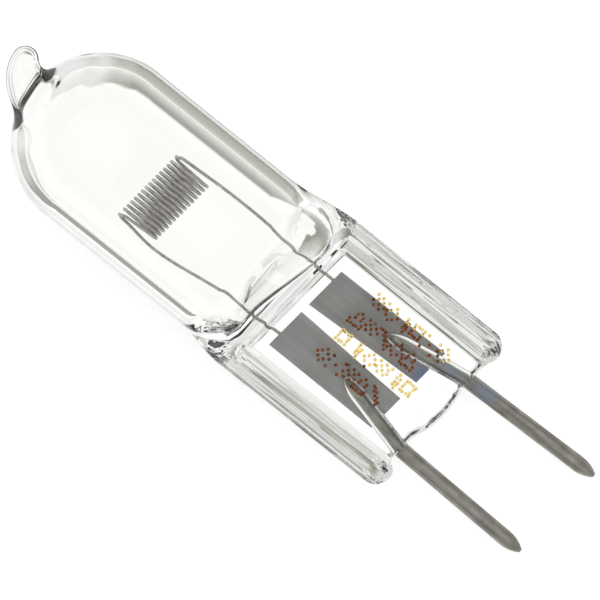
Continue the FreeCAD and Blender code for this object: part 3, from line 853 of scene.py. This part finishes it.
marks = {
    "start": (23.85, -1.15),
    "step": (1.02, 1.5),
    "stagger": 0.25,  # shift of every second row
    "dotStep": 0.22,
    "dotRadius": 0.12,
    "dotHeight": 0.016,
    "wander": 0.02,
    "seed": 7,
    "foils": (0.5, 3.05),  # edges of the foils under them
    "inks": {  # where thick, where thin, and how clear
        # painted shade: over the foils the amber ink is a dark opaque copy
        "inkShadedOverFoil": ((0.13, 0.035, 0.012), (0.3, 0.1, 0.03), 0.0),
        # painted light: over clear quartz the same ink is a light see-through copy
        "inkLitOverClearQuartz": ((0.85, 0.55, 0.1), (0.97, 0.82, 0.3), 1.0),
    },
    "shapes": {
        "diamond": ("..#..", ".#.#.", "#...#", ".#.#.", "..#.."),
        "triangle": ("..#..", ".#.#.", ".#.#.", "#...#", "#####"),
        "square": ("####.", "#..#.", "#..#.", "####.", "....."),
        "bar": ("..#..", "..##.", "..##.", "..##.", "...#."),
        "five": ("#...#", ".....", "..#..", ".....", "#...#"),
        "step": ("##...", ".##..", "..##.", "...##", "....#"),
        "check": ("#.#.#", ".#.#.", "#.#.#", ".#.#.", "....."),
    },
    "rows": (
        ("diamond", "five", "check", "triangle", "step"),
        ("square", "bar", "diamond", "check", "bar", "square"),
        ("triangle", "check", "step", "diamond", "triangle"),
        ("check", "diamond", "bar", "square", "five", "diamond"),
    ),
}


def addDot(bm, x, y):
    dot = bmesh.ops.create_icosphere(bm, subdivisions=1, radius=1)["verts"]
    size = (marks["dotRadius"], marks["dotRadius"], marks["dotHeight"])
    bmesh.ops.scale(bm, verts=dot, vec=size)
    bmesh.ops.translate(bm, verts=dot, vec=(x, y, glass["webHalf"] + marks["dotHeight"]))
    inner, outer = marks["foils"]
    # Dots over a foil get the dark copy of the ink as painted shade; the others get the light
    # copy as painted light.
    shadedOverFoil = inner < abs(y - pins["foilShift"]) < outer and x - y * lean < pins["foilEnd"]
    for face in {face for v in dot for face in v.link_faces}:
        face.material_index = 0 if shadedOverFoil else 1


def printedMarks():
    bm = bmesh.new()
    chance = random.Random(marks["seed"])
    for row, names in enumerate(marks["rows"]):
        for column, name in enumerate(names):
            left = marks["start"][0] + column * marks["step"][0] + row % 2 * marks["stagger"]
            foot = marks["start"][1] + row * marks["step"][1]
            for line, dots in enumerate(marks["shapes"][name]):
                for place, dot in enumerate(dots):
                    if dot == "#":
                        x = left + place * marks["dotStep"] + chance.gauss(0, marks["wander"])
                        y = foot - line * marks["dotStep"] + chance.gauss(0, marks["wander"])
                        addDot(bm, x + y * lean, y)
    return bm


# The shaded and the lit copies of one amber ink.
inkShadedOverFoil, inkLitOverQuartz = [inkMaterial(name, *look) for name, look in marks["inks"].items()]
printed = makePiece("printed_marks", [printedMarks()], inkShadedOverFoil)
printed.data.materials.append(inkLitOverQuartz)
print("printed marks done")


# Floor, light and camera.

studio = {
    "floorSize": 3.0,
    "floorDrop": 0.00005,  # a hair under the lamp
    "floorColour": (0.9, 0.9, 0.9, 1),
    "floorGlow": 0.5,
    "softboxPlace": (0.15, 0.25, 0.6),
    "softboxSize": 0.6,
    "softboxPower": 1.2,
}


def addStage(name, bm, material):
    mesh = bpy.data.meshes.new(name)
    bm.to_mesh(mesh)
    bm.free()
    mesh.materials.append(material)
    thing = bpy.data.objects.new(name, mesh)
    bpy.context.scene.collection.objects.link(thing)
    return thing


floorMaterial, floorTree, floorShader = newMaterial("paleTable")
floorShader.inputs["Base Color"].default_value = studio["floorColour"]
floorShader.inputs["Roughness"].default_value = 0.9
floorShader.inputs["Specular IOR Level"].default_value = 0.0
floorShader.inputs["Emission Color"].default_value = (1, 1, 1, 1)
floorShader.inputs["Emission Strength"].default_value = studio["floorGlow"]
bm = bmesh.new()
bmesh.ops.create_grid(bm, x_segments=1, y_segments=1, size=studio["floorSize"])
bmesh.ops.translate(bm, verts=bm.verts, vec=(0, 0, -studio["floorDrop"]))
floor = addStage("pale_floor", bm, floorMaterial)
floor.visible_transmission = False
floor.visible_glossy = False

view = {
    "distance": 1.0,
    "width": 0.0364,
    "turn": 38.7,
    "aim": Vector((0.0011, 0.0001, 0.005)),
}

# The room as the glass bends it: a light panel below that ends a little above and to the left of
# the lamp in the view, a grey surround there, and light again further out. The upper half is a
# plain soft ceiling.
room = {
    "ceiling": (0.5, 0.8),  # at the walls, and overhead
    "card": 0.8,  # a pale card stands beyond the dome
    "cardEdges": (0.25, 0.85),  # how squarely a way must point there to meet it
    "panel": 1.05,
    "leftSurround": (0.13, 0.3),  # beside the panel, and far from it
    "topSurround": (0.2, 0.62),
    "surroundTint": (1.0, 0.995, 0.88),
    "panelTop": 10.2,  # degrees from straight down
    "panelLeft": 23.0,
    "surroundEnd": 48.0,
    "soft": 1.0,
}


def roomLight():
    world = bpy.data.worlds.new("studioRoom")
    bpy.context.scene.world = world
    world.use_nodes = True
    tree = world.node_tree
    background = tree.nodes["Background"]

    def beyond(value, degrees):
        low = math.tan(math.radians(degrees - room["soft"]))
        high = math.tan(math.radians(degrees + room["soft"]))
        node = addNode(tree, "ShaderNodeMapRange", [("Value", value)],
                       interpolation_type="SMOOTHSTEP", From_Min=low, From_Max=high)
        return node.outputs["Result"]

    def toward(turn, down):
        # How far a direction leans to one side, as a share of how far it goes down.
        dot = addNode(tree, "ShaderNodeVectorMath", [(0, way)], operation="DOT_PRODUCT")
        dot.inputs[1].default_value = (math.cos(turn), math.sin(turn), 0)
        return compute(tree, "DIVIDE", dot.outputs["Value"], down)

    way = addNode(tree, "ShaderNodeTexCoord").outputs["Generated"]
    height = addNode(tree, "ShaderNodeSeparateXYZ", [(0, way)]).outputs[2]
    down = compute(tree, "MAXIMUM", compute(tree, "MULTIPLY", height, -1.0), 0.001)
    turn = math.radians(view["turn"])
    upWay = toward(turn + math.pi / 2, down)
    leftWay = toward(turn + math.pi, down)
    off = compute(tree, "SQRT", compute(tree, "ADD", compute(tree, "MULTIPLY", upWay, upWay),
                                        compute(tree, "MULTIPLY", leftWay, leftWay)), 0.0)
    pastTop = beyond(upWay, room["panelTop"])
    pastPanel = compute(tree, "MAXIMUM", pastTop, beyond(leftWay, room["panelLeft"]))
    grey = compute(tree, "SUBTRACT", pastPanel, beyond(off, room["surroundEnd"]))
    grey = compute(tree, "MAXIMUM", grey, 0.0)
    far = mapped(tree, off, math.tan(math.radians(room["panelTop"])),
                 math.tan(math.radians(room["surroundEnd"])), 0.0, 1.0)
    leftLevel, topLevel = [mapped(tree, far, 0.0, 1.0, *room[name])
                           for name in ("leftSurround", "topSurround")]
    topPart = compute(tree, "MULTIPLY", pastTop, compute(tree, "SUBTRACT", topLevel, leftLevel))
    surround = compute(tree, "ADD", leftLevel, topPart)
    squarely = compute(tree, "DIVIDE", toward(math.pi, down), off)
    beyondDome = mapped(tree, squarely, *room["cardEdges"], 0.0, 1.0)
    cardPart = compute(tree, "MULTIPLY", beyondDome,
                       compute(tree, "SUBTRACT", room["card"], surround))
    surround = compute(tree, "ADD", surround, cardPart)
    loss = compute(tree, "MULTIPLY", grey, compute(tree, "SUBTRACT", room["panel"], surround))
    below = compute(tree, "SUBTRACT", room["panel"], loss)
    isBelow = compute(tree, "LESS_THAN", height, 0.0)
    ceiling = mapped(tree, height, 0.0, 1.0, *room["ceiling"])
    level = compute(tree, "ADD", compute(tree, "MULTIPLY", isBelow, below),
                    compute(tree, "MULTIPLY", compute(tree, "SUBTRACT", 1.0, isBelow), ceiling))
    tree.links.new(level, background.inputs["Strength"])
    tinted = compute(tree, "MULTIPLY", grey, compute(tree, "SUBTRACT", isBelow, beyondDome))
    tinted = compute(tree, "MAXIMUM", tinted, 0.0)
    tree.links.new(blendColours(tree, tinted, (1.0, 1.0, 1.0), room["surroundTint"]),
                   background.inputs["Color"])


roomLight()

camera = bpy.data.objects.new("camera", bpy.data.cameras.new("camera"))
bpy.context.scene.collection.objects.link(camera)
camera.location = view["aim"] + Vector((0, 0, view["distance"]))
camera.rotation_euler = Euler((0, 0, math.radians(view["turn"])))
camera.data.sensor_width = 36
camera.data.lens = camera.data.sensor_width * view["distance"] / view["width"]
camera.data.clip_start = 0.005
camera.data.clip_end = 10
bpy.context.scene.camera = camera


def addSoftbox(name, place, size, power):
    light = bpy.data.lights.new(name, "AREA")
    light.size = size
    light.energy = power
    lamp = bpy.data.objects.new(name, light)
    lamp.location = place
    lamp.rotation_mode = "QUATERNION"
    lamp.rotation_quaternion = (-Vector(place)).to_track_quat("-Z", "Y")
    lamp.visible_glossy = False
    lamp.visible_transmission = False
    bpy.context.scene.collection.objects.link(lamp)


addSoftbox("ceiling_softbox", studio["softboxPlace"],
           studio["softboxSize"], studio["softboxPower"])
bpy.context.scene.view_settings.view_transform = "Standard"
print("floor, lights and camera done")
